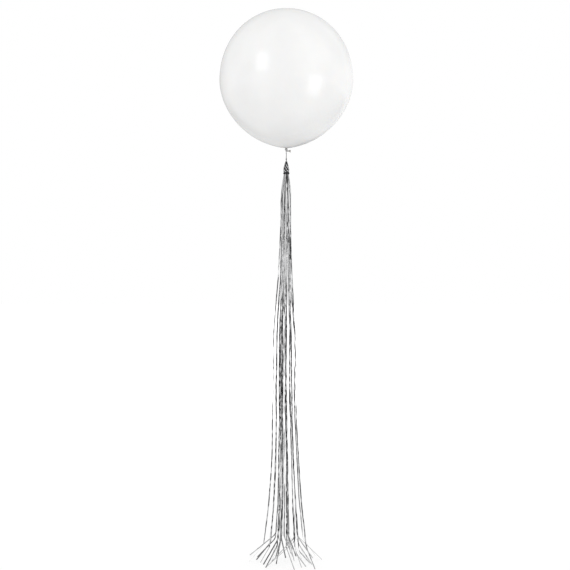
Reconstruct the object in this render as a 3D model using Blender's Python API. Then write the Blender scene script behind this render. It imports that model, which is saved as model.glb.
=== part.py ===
"""A giant round latex balloon with a foil tassel tail.

Metres, +Z up, +X to the right and the viewer on the -Y side. The origin is the
centre of the balloon at its widest level, where the gas holds it up. Below it,
on the Z axis, come the tied neck, a short string and the tassel, whose foil
strips hang to the floor and splay there.
"""
import math

import bmesh
import bpy
from mathutils import Matrix, Vector

# Balloon
WIDEST_RADIUS = 0.305
CROWN_HEIGHT = 0.319
POLE_DEPTH = 0.304
CROWN_FULLNESS = 0.03
POLE_SLIMNESS = -0.09
NECK_DRAW = 0.0048
NECK_DRAW_RADIUS = 0.055
SHELL = 0.010
SEGMENTS = 36
OUTER_LOWEST_DEG = -87.0
INNER_LOWEST_DEG = -86.0

# Neck, its knot and the rolled mouth, which points to the right
NECK_FLARE = ((0.0098, -0.3090), (0.0062, -0.3100), (0.0042, -0.3114))
NECK_RADIUS = 0.0032
NECK_BORE = 0.0016
NECK_TOP = -0.3122
NECK_END = -0.3172
BORE_TOP = -0.3034
GAP = 0.0003
CORD_SIDES = 8
KNOT_HEIGHT = 0.0104
KNOT_RADIUS = 0.0051
MOUTH_DROP_DEG = 4.0
MOUTH_OUTLINE = (
    (0.0, 0.0), (0.0018, 0.0), (0.0020, 0.0040), (0.0030, 0.0080), (0.0046, 0.0112),
    (0.0056, 0.0120), (0.0062, 0.0132), (0.0060, 0.0146), (0.0050, 0.0150),
    (0.0040, 0.0144), (0.0034, 0.0120), (0.0, 0.0104),
)

# String: turns round the neck, two legs past the knot, a bead-like knot, the drop and its eye
STRING_RADIUS = 0.0018
TIE_RADIUS = NECK_RADIUS + GAP + STRING_RADIUS
TIE_TOP = -0.3132
TIE_PITCH = 0.0036
TIE_LEG = ((0.0070, -0.3194), (0.0076, -0.3229), (0.0066, -0.3276), (0.0035, -0.3316))
BEAD_Z = -0.3334
BEAD_RADIUS = 0.0030

# Tassel head: a bight of foil through the eye, and a twisted cone below it
BIGHT_BAR = 0.0016
BIGHT_RADIUS = 0.0037
BIGHT_TOP = -0.3670
BIGHT_LEG = 0.0070
HEAD_TOP = -0.3748
HEAD_BOTTOM = -0.4300
HEAD_RADIUS = 0.0131
HEAD_LEVELS = 12
HEAD_SIDES = 20
HEAD_TWIST_DEG = 150.0
LOBES = 5
LOBE_DEPTH = 0.06
LOBES_END = -0.4162
LOBES_FULL = -0.4042
BINDING_TOP = -0.4222
BINDING_HEIGHT = 0.0070
BINDING_RADIUS = 0.0144
BINDING_EDGE = 0.0004
BINDING_SIDES = 24
HEAD_OUTLINE = (
    (HEAD_TOP, 0.0040), (-0.3800, 0.0060), (-0.3880, 0.0088), (-0.3980, 0.0120),
    (-0.4120, 0.0134), (BINDING_TOP, HEAD_RADIUS), (HEAD_BOTTOM, HEAD_RADIUS),
)

# Foil strips
STRIP_WIDTH = 0.0055
STRIP_THICKNESS = 0.0005
STRIP_TOP = HEAD_BOTTOM - GAP
FLOOR = -2.2000
SETTLE_DEPTH = 0.75
LONG_STATIONS = 20
BEND_STATIONS = 4
BEND_RADIUS = 0.040
TWIST_START = 0.06
TWIST_END = 0.05

BIGHT_BAR_Z = BIGHT_TOP - BIGHT_BAR
TASSEL_PIVOT = Vector((0, 0, BIGHT_BAR_Z - BIGHT_RADIUS))
STRING_PIVOT = Vector((0, 0, BEAD_Z))
SIDE_PLANE = Vector((1, 0, 0))
FRONT_PLANE = Vector((0, 1, 0))

# Half-width of the hanging bundle, as (depth below its top, radius)
BUNDLE = (
    (0.00, 0.0114), (0.03, 0.0165), (0.06, 0.0205), (0.25, 0.0236), (0.45, 0.0290),
    (0.60, 0.0390), (0.76, 0.0485), (1.03, 0.0520), (1.27, 0.0585), (1.50, 0.0720),
    (1.62, 0.0860), (1.72, 0.0980),
)

# How far the bundle sways along X, as (depth below its top, distance)
SWAY = ((0.00, 0.0), (0.30, -0.0030), (1.00, -0.0050), (1.25, -0.0020), (1.45, 0.0), (1.72, 0.0))

# Each ring of strips: its radius under the head, its share of the bundle's half-width, and
# the azimuth of its first strip there, in degrees
RINGS = {
    "outer": (0.0114, 1.00, 10.0),
    "middle": (0.0080, 0.66, 22.0),
    "core": (0.0056, 0.48, 0.0),
    "inner": (0.0033, 0.30, 40.0),
}

# Foil strips in the order they stand round each ring, counter-clockwise from +X:
# ring, azimuth low down in degrees, share of the ring's radius there, half-turns of twist,
# knee height above the floor, and where the tip touches the floor, x and y in metres
STRIPS = (
    ("outer", 3, 0.95, 2, 0.067, 0.128, -0.124),
    ("outer", 34, 1.00, -1, 0.092, 0.136, 0.102),
    ("outer", 57, 1.00, 3, 0.100, 0.164, 0.036),
    ("outer", 84, 0.95, -3, 0.088, 0.020, 0.142),
    ("outer", 106, 1.00, 3, 0.092, -0.040, 0.140),
    ("outer", 122, 1.00, -2, 0.108, -0.170, 0.112),
    ("outer", 177, 1.10, 2, 0.075, -0.168, 0.008),
    ("outer", 216, 1.00, -1, 0.082, -0.118, -0.016),
    ("outer", 243, 0.98, -3, 0.092, -0.092, -0.100),
    ("outer", 270, 0.97, 3, 0.090, 0.036, -0.134),
    ("outer", 294, 1.00, -2, 0.088, 0.068, -0.096),
    ("outer", 306, 1.00, 3, 0.070, 0.108, -0.024),
    ("middle", 32, 1.05, -3, 0.104, 0.122, 0.062),
    ("middle", 100, 0.96, -1, 0.102, 0.030, 0.088),
    ("middle", 116, 1.00, -3, 0.110, -0.003, 0.062),
    ("middle", 146, 1.00, 2, 0.098, -0.134, 0.080),
    ("middle", 190, 1.20, -1, 0.090, -0.138, 0.030),
    ("middle", 242, 1.02, 1, 0.104, -0.070, -0.032),
    ("middle", 310, 1.00, -3, 0.122, -0.068, 0.003),
    ("middle", 330, 1.02, -1, 0.092, 0.116, -0.050),
    ("core", 30, 1.00, 3, 0.118, 0.092, 0.016),
    ("core", 84, 1.00, 2, 0.120, 0.046, 0.090),
    ("core", 138, 1.04, -1, 0.130, -0.070, 0.050),
    ("core", 212, 1.00, 2, 0.110, -0.104, -0.046),
    ("core", 272, 1.00, 3, 0.106, 0.088, -0.078),
    ("core", 326, 1.08, -1, 0.100, -0.088, -0.078),
    ("inner", 64, 1.00, 3, 0.122, 0.072, 0.042),
    ("inner", 140, 0.95, 3, 0.122, -0.050, 0.064),
    ("inner", 218, 1.00, 3, 0.124, -0.046, -0.040),
    ("inner", 284, 0.90, -1, 0.138, 0.036, 0.016),
)


def clear_scene():
    for obj in list(bpy.data.objects):
        bpy.data.objects.remove(obj)


def finish(name, colour, roughness, metallic):
    """A Principled material with one colour."""
    material = bpy.data.materials.new(name)
    material.use_nodes = True
    shader = material.node_tree.nodes["Principled BSDF"]
    shader.inputs["Base Color"].default_value = (*colour, 1)
    shader.inputs["Roughness"].default_value = roughness
    shader.inputs["Metallic"].default_value = metallic
    return material


def pivot(name, position, parent=None):
    """An empty on a joint's axis; what moves there is its child."""
    empty = bpy.data.objects.new(name, None)
    empty.empty_display_size = 0.02
    bpy.context.scene.collection.objects.link(empty)
    empty.parent = parent
    origin = parent.location if parent else Vector((0, 0, 0))
    empty.location = position - origin
    return empty


def add(name, data, material, holder=None, origin=Vector((0, 0, 0))):
    """Put data, made in the part's own frame, under its holder's pivot."""
    obj = bpy.data.objects.new(name, data)
    bpy.context.scene.collection.objects.link(obj)
    data.materials.append(material)
    data.transform(Matrix.Translation(-origin))
    obj.parent = holder
    return obj


def mesh_from(bm, name, smooth=True):
    bmesh.ops.recalc_face_normals(bm, faces=bm.faces)
    mesh = bpy.data.meshes.new(name)
    bm.to_mesh(mesh)
    bm.free()
    if smooth:
        mesh.shade_smooth()
        mesh.set_sharp_from_angle(angle=math.radians(40))
    return mesh


def turned(name, outline, segments=SEGMENTS, closed=False):
    """Spin an outline of (radius, z) points round Z; ends on the axis close it."""
    bm = bmesh.new()
    verts = [bm.verts.new((radius, 0, z)) for radius, z in outline]
    pairs = list(zip(verts, verts[1:]))
    if closed:
        pairs.append((verts[-1], verts[0]))
    edges = [bm.edges.new(pair) for pair in pairs]
    bmesh.ops.spin(bm, geom=verts + edges, cent=(0, 0, 0), axis=(0, 0, 1),
                   angle=2 * math.pi, steps=segments, use_merge=True)
    bmesh.ops.remove_doubles(bm, verts=bm.verts, dist=1e-6)
    return mesh_from(bm, name)


def lofted(name, rings, smooth=True, closed=False):
    """Join rings of equal point count into one body, capped unless it closes on itself.

    Diagonals on opposite sides run the same way, so a thin twisted body keeps its thickness.
    """
    bm = bmesh.new()
    loops = [[bm.verts.new(point) for point in ring] for ring in rings]
    pairs = list(zip(loops, loops[1:]))
    if closed:
        pairs.append((loops[-1], loops[0]))
    for low, high in pairs:
        for i in range(len(low)):
            j = (i + 1) % len(low)
            start, end = (i, j) if i < len(low) / 2 else (j, i)
            bm.faces.new((low[start], low[end], high[end]))
            bm.faces.new((low[start], high[end], high[start]))
    if not closed:
        bm.faces.new(loops[0])
        bm.faces.new(loops[-1])
    return mesh_from(bm, name, smooth)


def tube(name, points, radius, normal, closed=False):
    """A round cord along points that lie in the plane with this normal."""
    rings = []
    last = len(points) - 1
    for i, point in enumerate(points):
        before = points[i - 1] if i or closed else point
        after = points[(i + 1) % len(points)] if i < last or closed else point
        side = (after - before).normalized().cross(normal)
        angles = [2 * math.pi * k / CORD_SIDES for k in range(CORD_SIDES)]
        rings.append([point + radius * (math.cos(a) * side + math.sin(a) * normal)
                      for a in angles])
    return lofted(name, rings, closed=closed)


def join_shape(obj, helper):
    """Union a helper shape into obj; the helper itself isn't a piece."""
    helper.hide_render = True
    helper.display_type = "WIRE"
    union = obj.modifiers.new("join " + helper.name, "BOOLEAN")
    union.operation = "UNION"
    union.solver = "EXACT"
    union.object = helper


def arc_points(centre, radius, start_deg, end_deg, count, plane):
    """Points on an arc in plane "XZ" or "YZ", counted from its level axis."""
    points = []
    for i in range(count):
        angle = math.radians(start_deg + (end_deg - start_deg) * i / (count - 1))
        level = radius * math.cos(angle)
        offset = (level, 0, 0) if plane == "XZ" else (0, level, 0)
        points.append(centre + Vector(offset) + Vector((0, 0, radius * math.sin(angle))))
    return points


def smooth_value(knots, at):
    """Hermite curve through (place, value) knots."""
    slopes = []
    for i in range(len(knots)):
        before = knots[max(i - 1, 0)]
        after = knots[min(i + 1, len(knots) - 1)]
        slopes.append((after[1] - before[1]) / (after[0] - before[0]))
    for i in range(len(knots) - 1):
        (x0, y0), (x1, y1) = knots[i], knots[i + 1]
        if at <= x1 or i == len(knots) - 2:
            width = x1 - x0
            t = (at - x0) / width
            return ((2 * t**3 - 3 * t**2 + 1) * y0 + (t**3 - 2 * t**2 + t) * width * slopes[i]
                    + (3 * t**2 - 2 * t**3) * y1 + (t**3 - t**2) * width * slopes[i + 1])
    return knots[-1][1]


def skin_outline(inset, rows, lowest_deg):
    """(radius, z) from the crown down one skin of the balloon."""
    points = []
    for i in range(rows + 1):
        angle = math.radians(90 - (90 - lowest_deg) * i / rows)
        share = math.sin(angle)
        height = CROWN_HEIGHT if share >= 0 else POLE_DEPTH
        fullness = CROWN_FULLNESS if share >= 0 else POLE_SLIMNESS
        radius = (WIDEST_RADIUS - inset) * math.cos(angle) * (1 + fullness * share**2)
        drawn = NECK_DRAW * math.exp(-(radius / NECK_DRAW_RADIUS)**2) if share < 0 else 0.0
        points.append((max(radius, 0.0), (height - inset) * share - drawn))
    points[0] = (0.0, points[0][1])
    return points


def build_balloon(latex):
    """The 10 mm stand-in shell, open through its neck, which the knot closes."""
    outline = skin_outline(0.0, 23, OUTER_LOWEST_DEG)
    outline += NECK_FLARE
    outline += [(NECK_RADIUS, NECK_TOP), (NECK_RADIUS, NECK_END), (NECK_BORE, NECK_END)]
    outline += [(NECK_BORE, BORE_TOP)]
    outline += reversed(skin_outline(SHELL, 9, INNER_LOWEST_DEG))
    add("envelope", turned("envelope", outline), latex)

    knot_z = NECK_END - GAP - KNOT_HEIGHT / 2
    bm = bmesh.new()
    bmesh.ops.create_uvsphere(bm, u_segments=16, v_segments=10, radius=1.0)
    size = (KNOT_RADIUS, KNOT_RADIUS, KNOT_HEIGHT / 2)
    bmesh.ops.scale(bm, vec=size, verts=bm.verts)
    bmesh.ops.translate(bm, vec=(0, 0, knot_z), verts=bm.verts)
    add("neck_knot", mesh_from(bm, "neck_knot"), latex)

    mouth = turned("mouth_rim", MOUTH_OUTLINE, 16)
    aim = Matrix.Rotation(math.radians(90 + MOUTH_DROP_DEG), 4, "Y")
    outward = (aim @ Vector((0, 0, 1))).normalized()
    reach = 1 / math.sqrt((outward.x / KNOT_RADIUS)**2 + (outward.z / (KNOT_HEIGHT / 2))**2)
    root = Vector((0, 0, knot_z)) + outward * (reach + GAP)
    mouth.transform(Matrix.Translation(root) @ aim)
    add("mouth_rim", mouth, latex)


def build_tie(cord):
    """Two turns round the neck, a leg on each side of the knot, and the bead where they meet."""
    low_turn = TIE_TOP - TIE_PITCH
    outline = []
    for turn_z in (TIE_TOP, low_turn):
        start, end = (-180, 60) if turn_z == low_turn else (-60, 180)
        for i in range(7):
            angle = math.radians(start + (end - start) * i / 6)
            outline.append((TIE_RADIUS + STRING_RADIUS * math.cos(angle),
                            turn_z + STRING_RADIUS * math.sin(angle)))
    upper, lower = outline[:7], outline[7:]
    turns = turned("neck_tie", lower + upper, 16, closed=True)
    tie = add("neck_tie", turns, cord)

    right = [(TIE_RADIUS, low_turn), *TIE_LEG]
    legs = [(-y, z) for y, z in right] + [(0.0, BEAD_Z)] + right[::-1]
    both = tube("tie legs", [Vector((0, y, z)) for y, z in legs], STRING_RADIUS, SIDE_PLANE)
    join_shape(tie, add("tie legs", both, cord))

    bm = bmesh.new()
    bmesh.ops.create_uvsphere(bm, u_segments=12, v_segments=8, radius=BEAD_RADIUS)
    bmesh.ops.translate(bm, vec=(0, 0, BEAD_Z), verts=bm.verts)
    join_shape(tie, add("tie bead", mesh_from(bm, "tie bead"), cord))


def build_string(cord, holder):
    """The drop from the bead to the eye, which holds the tassel's bight."""
    eye_radius = BIGHT_BAR + GAP + STRING_RADIUS
    eye_z = BIGHT_BAR_Z
    top = BEAD_Z - BEAD_RADIUS - GAP
    bottom = eye_z + eye_radius
    drop = [Vector((0, 0, top + (bottom - top) * i / 6)) for i in range(7)]
    drop = tube("string", drop, STRING_RADIUS, SIDE_PLANE)
    string = add("string", drop, cord, holder, STRING_PIVOT)

    eye = arc_points(Vector((0, 0, eye_z)), eye_radius, 0, 337.5, 16, "YZ")
    eye = tube("string eye", eye, STRING_RADIUS, SIDE_PLANE, closed=True)
    join_shape(string, add("string eye", eye, cord, holder, STRING_PIVOT))


def build_head(foil, holder):
    """The gathered foil above the binding: twisted lobes, and a bight on top."""
    rings = []
    for i in range(HEAD_LEVELS + 1):
        z = HEAD_TOP + (HEAD_BOTTOM - HEAD_TOP) * i / HEAD_LEVELS
        radius = smooth_value([(-level, value) for level, value in HEAD_OUTLINE], -z)
        turn = math.radians(HEAD_TWIST_DEG) * i / HEAD_LEVELS
        lobes = LOBE_DEPTH * eased((z - LOBES_END) / (LOBES_FULL - LOBES_END))
        ring = []
        for k in range(HEAD_SIDES):
            angle = 2 * math.pi * k / HEAD_SIDES + turn
            spread = radius * (1 + lobes * math.cos(LOBES * (angle - turn)))
            ring.append(Vector((spread * math.cos(angle), spread * math.sin(angle), z)))
        rings.append(ring)
    head = add("tassel_head", lofted("tassel_head", rings), foil, holder, TASSEL_PIVOT)

    bight = [TASSEL_PIVOT + Vector((BIGHT_RADIUS, 0, -BIGHT_LEG))]
    bight += arc_points(TASSEL_PIVOT, BIGHT_RADIUS, 0, 180, 9, "XZ")
    bight += [TASSEL_PIVOT + Vector((-BIGHT_RADIUS, 0, -BIGHT_LEG))]
    bight = tube("bight", bight, BIGHT_BAR, FRONT_PLANE)
    join_shape(head, add("bight", bight, foil, holder, TASSEL_PIVOT))

    inner = (HEAD_RADIUS + GAP) / math.cos(math.pi / BINDING_SIDES)
    low = BINDING_TOP - BINDING_HEIGHT
    edge = BINDING_RADIUS - BINDING_EDGE
    outline = [(inner, BINDING_TOP), (inner, low), (edge, low),
               (BINDING_RADIUS, low + BINDING_EDGE), (BINDING_RADIUS, BINDING_TOP - BINDING_EDGE),
               (edge, BINDING_TOP)]
    band = turned("tassel_binding", outline, BINDING_SIDES, closed=True)
    add("tassel_binding", band, foil, holder, TASSEL_PIVOT)


def eased(share):
    """0 to 1 with a soft start and end."""
    share = min(max(share, 0.0), 1.0)
    return share * share * (3 - 2 * share)


def strip_route(strip, turn_at_top):
    """(point, facing azimuth, twist) down one strip, from the head to the floor.

    On its way down the strip turns to face the way its leg lies, so that it bends flat.
    """
    ring, turn_low, share, half_turns, knee_height, tip_x, tip_y = strip
    top_radius, ring_share, _ = RINGS[ring]
    top_share = top_radius / BUNDLE[0][1]
    fall = STRIP_TOP - FLOOR - knee_height
    hanging = []
    for i in range(LONG_STATIONS):
        depth = fall * i / (LONG_STATIONS - 1)
        settle = eased(depth / SETTLE_DEPTH)
        held = top_share + (ring_share * share - top_share) * settle
        radius = held * smooth_value(BUNDLE, depth)
        angle = math.radians(turn_at_top + (turn_low - turn_at_top) * settle)
        place = Vector((radius * math.cos(angle) + smooth_value(SWAY, depth),
                        radius * math.sin(angle), STRIP_TOP - depth))
        twisted = (depth - TWIST_START) / (fall - TWIST_START - TWIST_END)
        hanging.append((place, angle, min(max(twisted, 0.0), 1.0)))

    knee = hanging.pop()[0]
    tip = Vector((tip_x, tip_y, FLOOR + STRIP_THICKNESS / 2))
    splay = math.atan2(tip.y - knee.y, tip.x - knee.x)
    lean = (splay - math.radians(turn_low) + math.pi) % (2 * math.pi) - math.pi
    route = [(place, angle + lean * twisted, math.pi * half_turns * twisted)
             for place, angle, twisted in hanging]
    facing = math.radians(turn_low) + lean
    twist = math.pi * half_turns
    inward = (hanging[-1][0] - knee).normalized()
    outward = (tip - knee).normalized()
    bend = BEND_RADIUS * math.tan(inward.angle(-outward) / 2)
    for i in range(BEND_STATIONS):
        t = i / (BEND_STATIONS - 1)
        place = ((1 - t)**2 * (knee + inward * bend) + 2 * t * (1 - t) * knee
                 + t**2 * (knee + outward * bend))
        route.append((place, facing, twist))
    route.append((tip, facing, twist))
    return route


def build_strip(name, strip, turn_at_top, foil, holder):
    """A flat strip that starts facing outwards, twists on its way down and ends facing outwards."""
    route = strip_route(strip, turn_at_top)
    last = len(route) - 1
    rings = []
    for i, (point, azimuth, twist) in enumerate(route):
        along = (route[min(i + 1, last)][0] - route[max(i - 1, 0)][0]).normalized()
        if i == 0:
            along = Vector((0, 0, -1))
        facing = Vector((math.cos(azimuth), math.sin(azimuth), 0))
        level = along.cross(facing).normalized()
        across = level.cross(along).normalized()
        side = (level * math.cos(twist) + across * math.sin(twist)) * STRIP_WIDTH / 2
        face = side.cross(along).normalized() * STRIP_THICKNESS / 2
        rings.append([point + side + face, point - side + face,
                      point - side - face, point + side - face])
    add(name, lofted(name, rings, smooth=False), foil, holder, TASSEL_PIVOT)


def build_strips(foil, holder):
    counts = {ring: sum(strip[0] == ring for strip in STRIPS) for ring in RINGS}
    placed = dict.fromkeys(RINGS, 0)
    for number, strip in enumerate(STRIPS, 1):
        ring = strip[0]
        turn_at_top = RINGS[ring][2] + 360.0 * placed[ring] / counts[ring]
        placed[ring] += 1
        build_strip(f"foil_strip_{number:02d}", strip, turn_at_top, foil, holder)


clear_scene()
white_latex = finish("white latex", (0.90, 0.90, 0.89), 0.28, 0.0)
grey_cord = finish("grey cord", (0.30, 0.30, 0.31), 0.75, 0.0)
silver_foil = finish("silver foil", (0.80, 0.81, 0.82), 0.18, 1.0)
string_pivot = pivot("string pivot", STRING_PIVOT)
tassel_pivot = pivot("tassel pivot", TASSEL_PIVOT, string_pivot)
build_balloon(white_latex)
build_tie(grey_cord)
build_string(grey_cord, string_pivot)
build_head(silver_foil, tassel_pivot)
build_strips(silver_foil, tassel_pivot)
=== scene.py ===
"""Looks of a giant round latex balloon with a foil tassel tail.

Metres, +Z up, the viewer on the -Y side, the origin at the centre of the balloon. Every
piece takes the place of the plain solid of the same part and rides on its body.
"""
import math
import random

import bmesh
import bpy
from mathutils import Matrix, Vector, noise


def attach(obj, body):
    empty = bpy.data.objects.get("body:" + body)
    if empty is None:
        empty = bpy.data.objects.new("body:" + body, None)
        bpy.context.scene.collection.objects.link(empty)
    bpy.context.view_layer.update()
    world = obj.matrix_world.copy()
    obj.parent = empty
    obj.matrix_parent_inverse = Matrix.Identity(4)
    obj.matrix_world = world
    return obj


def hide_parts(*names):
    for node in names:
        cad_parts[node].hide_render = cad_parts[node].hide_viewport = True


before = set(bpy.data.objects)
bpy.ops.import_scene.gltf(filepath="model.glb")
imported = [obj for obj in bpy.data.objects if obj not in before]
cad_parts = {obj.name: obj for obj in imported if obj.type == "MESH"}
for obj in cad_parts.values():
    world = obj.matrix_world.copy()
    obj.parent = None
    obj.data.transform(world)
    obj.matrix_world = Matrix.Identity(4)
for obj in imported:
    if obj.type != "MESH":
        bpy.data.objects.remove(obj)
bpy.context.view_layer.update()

# Camera: one pixel of the 570-pixel photograph is 4.57 mm at the balloon's axis
CAMERA_PLACE = (-0.0060, -4.57, -0.9355)
LENS_MM = 63.16
SENSOR_MM = 36.0

# Balloon profile, as the solid has it
WIDEST_RADIUS = 0.305
CROWN_HEIGHT = 0.319
POLE_DEPTH = 0.304
CROWN_FULLNESS = 0.03
POLE_SLIMNESS = -0.09
NECK_DRAW = 0.0048
NECK_DRAW_RADIUS = 0.055
LOWEST_DEG = -87.0
NECK_FLARE = ((0.0098, -0.3090), (0.0062, -0.3100), (0.0042, -0.3114))
NECK_RADIUS = 0.0032
NECK_TOP = -0.3122
NECK_END = -0.3172
PLEATS = 13
PLEAT_REACH = 0.034
PLEAT_DEPTH = 0.00028

# Neck knot: an overhand turn of latex round the stem that it is pulled tight on
KNOT_Z = -0.3227
KNOT_SINK = 0.0003
KNOT_SCALE = 0.00098
KNOT_LOOPS = 1.55
KNOT_STRETCH = 1.25
KNOT_TUBE = 0.0020
STEM_RADIUS = 0.0026
STEM_RISE = 0.0052
STEM_STEP = 0.0016
KNOT_VOXEL = 0.00028

# Rolled mouth, as (radius, distance from its start) up the outside, round the bead, down inside
MOUTH_DROP_DEG = 4.0
MOUTH_START = 0.0053
MOUTH_LENGTH = 0.0150
MOUTH_FLATNESS = 0.92
LIP_OUTSIDE = ((0.0, -0.0018), (0.0030, -0.0018), (0.0028, 0.0020), (0.0029, 0.0042),
               (0.0033, 0.0064), (0.0039, 0.0085), (0.0045, 0.0105), (0.0050, 0.0118))
LIP_BEAD = (0.0052, 0.0131)
LIP_BEAD_RADIUS = 0.0011
LIP_INSIDE = ((0.0040, 0.0122), (0.0034, 0.0108), (0.0026, 0.0086), (0.0017, 0.0060),
              (0.0, 0.0048))

# Cord
CORD_RADIUS = 0.0018
PLIES = 3
PLY_PITCH = 0.0100
PLY_DEPTH = 0.30
THIN_PLY_DEPTH = 0.25
CORD_STEP = 0.0005
TIE_RADIUS = 0.0053
TIE_TOP = -0.3132
TIE_PITCH = 0.0036
TIE_TURNS = 2.5
TIE_LEG = ((-0.0035, -0.3316), (-0.0066, -0.3276), (-0.0076, -0.3229), (-0.0070, -0.3194))
BEAD_Z = -0.3334
BEAD_SCALE = 0.00085
BEAD_LOOPS = 1.7
BEAD_STRETCH = 1.15
BEAD_CORD = 0.00135
BEAD_PITCH = 0.0070
DROP_LINE = ((0, -0.3364), (0.0002, -0.3430), (-0.0001, -0.3520), (0.0001, -0.3600))
EYE_RADIUS = 0.0037
EYE_Z = -0.3686
WHIPPING_TURNS = 3
WHIPPING_RADIUS = 0.0024
WHIPPING_PITCH = 0.0015
WHIPPING_CORD = 0.00085
WHIPPING_PLY_PITCH = 0.0045

# Tassel head: a twisted core, strips laid round it, a bight of three strands, and a binding
HEAD_TOP = -0.3748
HEAD_BOTTOM = -0.4300
HEAD_PROFILE = ((HEAD_TOP, 0.0036), (-0.3800, 0.0058), (-0.3880, 0.0086), (-0.3980, 0.0117),
                (-0.4120, 0.0131), (-0.4222, 0.0128), (HEAD_BOTTOM, 0.0128))
HEAD_TURN_DEG = 210.0
HEAD_CORE = 0.93
HEAD_RIDGES = 9
HEAD_SEED = 11
LAID_STRIPS = 11
LAID_START = 0.0012
LAID_END = 0.0004
LAID_ROUND = 0.0128
LAID_CAMBER = 0.0003
BIGHT_CENTRE = Vector((0, 0, -0.3723))
BIGHT_STRANDS = ((-0.0011, 0.0034), (0.0, 0.0037), (0.0011, 0.0034))
BIGHT_LEG = 0.0075
BIGHT_WIDTH = 0.0030
BIGHT_THICKNESS = 0.0005
BIGHT_CAMBER = 0.0002
BINDING_TOP = -0.4222
BINDING_HEIGHT = 0.0070
BINDING_RADIUS = 0.0138
BINDING_TURNS = 3
BINDING_BAND = 0.0030
BINDING_THICKNESS = 0.0004
BINDING_WOBBLE = 0.0002
BINDING_CAMBER = -0.0002

# Foil strips
STRIP_WIDTH = 0.0055
STRIP_FILM = 0.00022
STRIP_TOP = -0.4303
FLOOR = -2.2000
SETTLE_DEPTH = 0.75
BEND_RADIUS = 0.040
TWIST_START = 0.06
TWIST_END = 0.05
LONG_STATIONS = 190
BEND_STATIONS = 10
LEG_STATIONS = 14
RIBBON_CELLS = 4

# How a strip strays from its even twist and its route. Turns are in radians, unless the name
# says degrees. Low down at the bundle's left and right a strip's wander is held back, and it
# turns towards square on by what it faces LOW_SAMPLE metres above its knee
RIBBON_SEED = 100
CRINKLE_SEED = 500
WANDER_TURN = 0.70
WANDER_HELD = 0.6
SHORT_TURN = 0.25
CRINKLE_TURN = 0.65
CRINKLE_AT_TOP = 0.3
LOW_TURN_SHARE = 0.75
LOW_SAMPLE = 0.20
LEG_TURN_DEG = (32, 66)
DRIFT = 0.0014
CAMBER = 0.00012
CURL_CAMBER = 0.00030

# Shortest and longest straight stretch between the kinks of a strip, in metres
WIDE_KINKS = (0.07, 0.20)
SHORT_KINKS = (0.02, 0.07)
DRIFT_KINKS = (0.05, 0.16)
CURL_KINKS = (0.04, 0.12)
CRINKLE_KINKS = (0.014, 0.034)

# Where a strip's turns set in, as (start, length) in metres: from its upper end, above its
# knee, and past its knee
LOOSE = (0.02, 0.10)
LIVELY = (0.50, 0.25)
DRIFT_ABOVE_KNEE = (0.0, 0.08)
CRINKLE_ABOVE_KNEE = (0.0, 0.03)
LOW_PAST_KNEE = (-0.45, 0.25)
LEG_PAST_KNEE = (-0.02, 0.05)

# How far to the side of the bundle a strip counts as edge on to the viewer, as (start, span)
# in shares of the bundle's half-width
EDGE_ON = (0.75, 0.20)

# Half-width of the hanging bundle, as (depth below its top, radius)
BUNDLE = (
    (0.00, 0.0114), (0.03, 0.0165), (0.06, 0.0205), (0.25, 0.0236), (0.45, 0.0290),
    (0.60, 0.0390), (0.76, 0.0485), (1.03, 0.0520), (1.27, 0.0585), (1.50, 0.0720),
    (1.62, 0.0860), (1.72, 0.0980),
)

# How far the bundle sways along X, as (depth below its top, distance)
SWAY = ((0.00, 0.0), (0.30, -0.0030), (1.00, -0.0050), (1.25, -0.0020), (1.45, 0.0), (1.72, 0.0))

# Each ring of strips: its radius under the head, its share of the bundle's half-width, and
# the azimuth of its first strip there
RINGS = {
    "outer": (0.0114, 1.00, 10.0),
    "middle": (0.0080, 0.66, 22.0),
    "core": (0.0056, 0.48, 0.0),
    "inner": (0.0033, 0.30, 40.0),
}

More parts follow.
